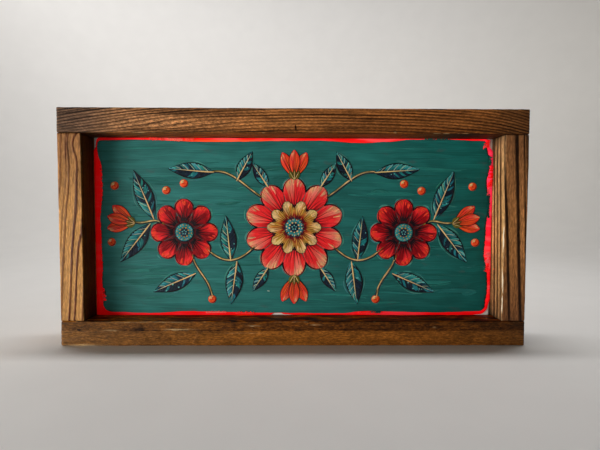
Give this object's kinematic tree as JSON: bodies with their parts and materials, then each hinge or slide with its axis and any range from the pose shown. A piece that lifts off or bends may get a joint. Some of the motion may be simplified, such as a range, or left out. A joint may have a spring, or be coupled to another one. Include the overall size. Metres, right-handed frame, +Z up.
{
  "type": "framed painting",
  "caption": "Painted board with a folk garland of flowers, set in a deep box frame of stained pine that stands on its bottom rail.",
  "frame": {"origin": "middle of the bottom rail's underside, half way along its length and half way into its depth", "axes": "+X along the frame to the viewer's right, +Y from the picture into the frame's back, +Z up; the picture faces -Y"},
  "size_m": [0.356, 0.0406, 0.181],
  "materials": {
    "rail_wood": "brown oil stain on planed pine, dark grain lines, satin",
    "left_stile_wood": "golden brown stain on planed pine, dark wavy grain, satin",
    "right_stile_wood": "brown stain on planed pine, wide dark rings, satin",
    "bare_pine": "bare planed pine, matt",
    "primer_paint": "white primer, matt, brushed",
    "coral_paint": "neon coral acrylic, dry-brushed edges, satin",
    "teal_paint": "deep teal acrylic with level brush streaks, satin",
    "vermilion_paint": "coral red acrylic strokes, satin",
    "ochre_paint": "cream and ochre acrylic strokes, satin",
    "turquoise_paint": "turquoise acrylic strokes, satin",
    "crimson_paint": "crimson and orange acrylic strokes, satin",
    "orange_paint": "orange red acrylic strokes, satin",
    "olive_paint": "olive acrylic strokes, satin",
    "leaf_paint": "navy and turquoise acrylic strokes, satin",
    "hanger_metal": "brass-plated pressed steel, satin"
  },
  "bodies": {
    "root": {"top_rail": "rail_wood", "bottom_rail": "rail_wood", "left_stile": "left_stile_wood", "right_stile": "right_stile_wood", "board": "bare_pine", "primer_coat": "primer_paint", "coral_ground": "coral_paint", "teal_field": "teal_paint", "heart_disc": "turquoise_paint", "heart_crown": "ochre_paint", "heart_petals": "vermilion_paint", "side_disc_right": "turquoise_paint", "side_disc_left": "turquoise_paint", "side_petals_right": "crimson_paint", "side_petals_left": "crimson_paint", "bud_outer_right": "orange_paint", "bud_outer_left": "orange_paint", "bud_top": "orange_paint", "bud_bottom": "orange_paint", "berry_high_right": "ochre_paint", "berry_high_left": "ochre_paint", "berry_far_high_right": "ochre_paint", "berry_far_high_left": "ochre_paint", "berry_tip_high_right": "ochre_paint", "berry_tip_high_left": "ochre_paint", "berry_tip_low_right": "ochre_paint", "berry_tip_low_left": "ochre_paint", "berry_low_right": "ochre_paint", "berry_low_left": "ochre_paint", "stem_link_right": "olive_paint", "stem_link_left": "olive_paint", "stem_outer_right": "olive_paint", "stem_outer_left": "olive_paint", "stem_upper_right": "olive_paint", "stem_upper_left": "olive_paint", "stem_lower_right": "olive_paint", "stem_lower_left": "olive_paint", "leaf_rising_right": "leaf_paint", "leaf_rising_left": "leaf_paint", "leaf_sinking_right": "leaf_paint", "leaf_sinking_left": "leaf_paint", "leaf_high_right": "leaf_paint", "leaf_high_left": "leaf_paint", "leaf_tall_right": "leaf_paint", "leaf_tall_left": "leaf_paint", "leaf_crest_right": "leaf_paint", "leaf_crest_left": "leaf_paint", "leaf_trailing_right": "leaf_paint", "leaf_trailing_left": "leaf_paint", "leaf_low_right": "leaf_paint", "leaf_low_left": "leaf_paint", "sprig_top_right": "leaf_paint", "sprig_top_left": "leaf_paint", "sprig_bottom_right": "leaf_paint", "sprig_bottom_left": "leaf_paint", "hanger_nail_left": "hanger_metal", "hanger_nail_right": "hanger_metal", "sawtooth_hanger": "hanger_metal"}
  },
  "joints": []
}
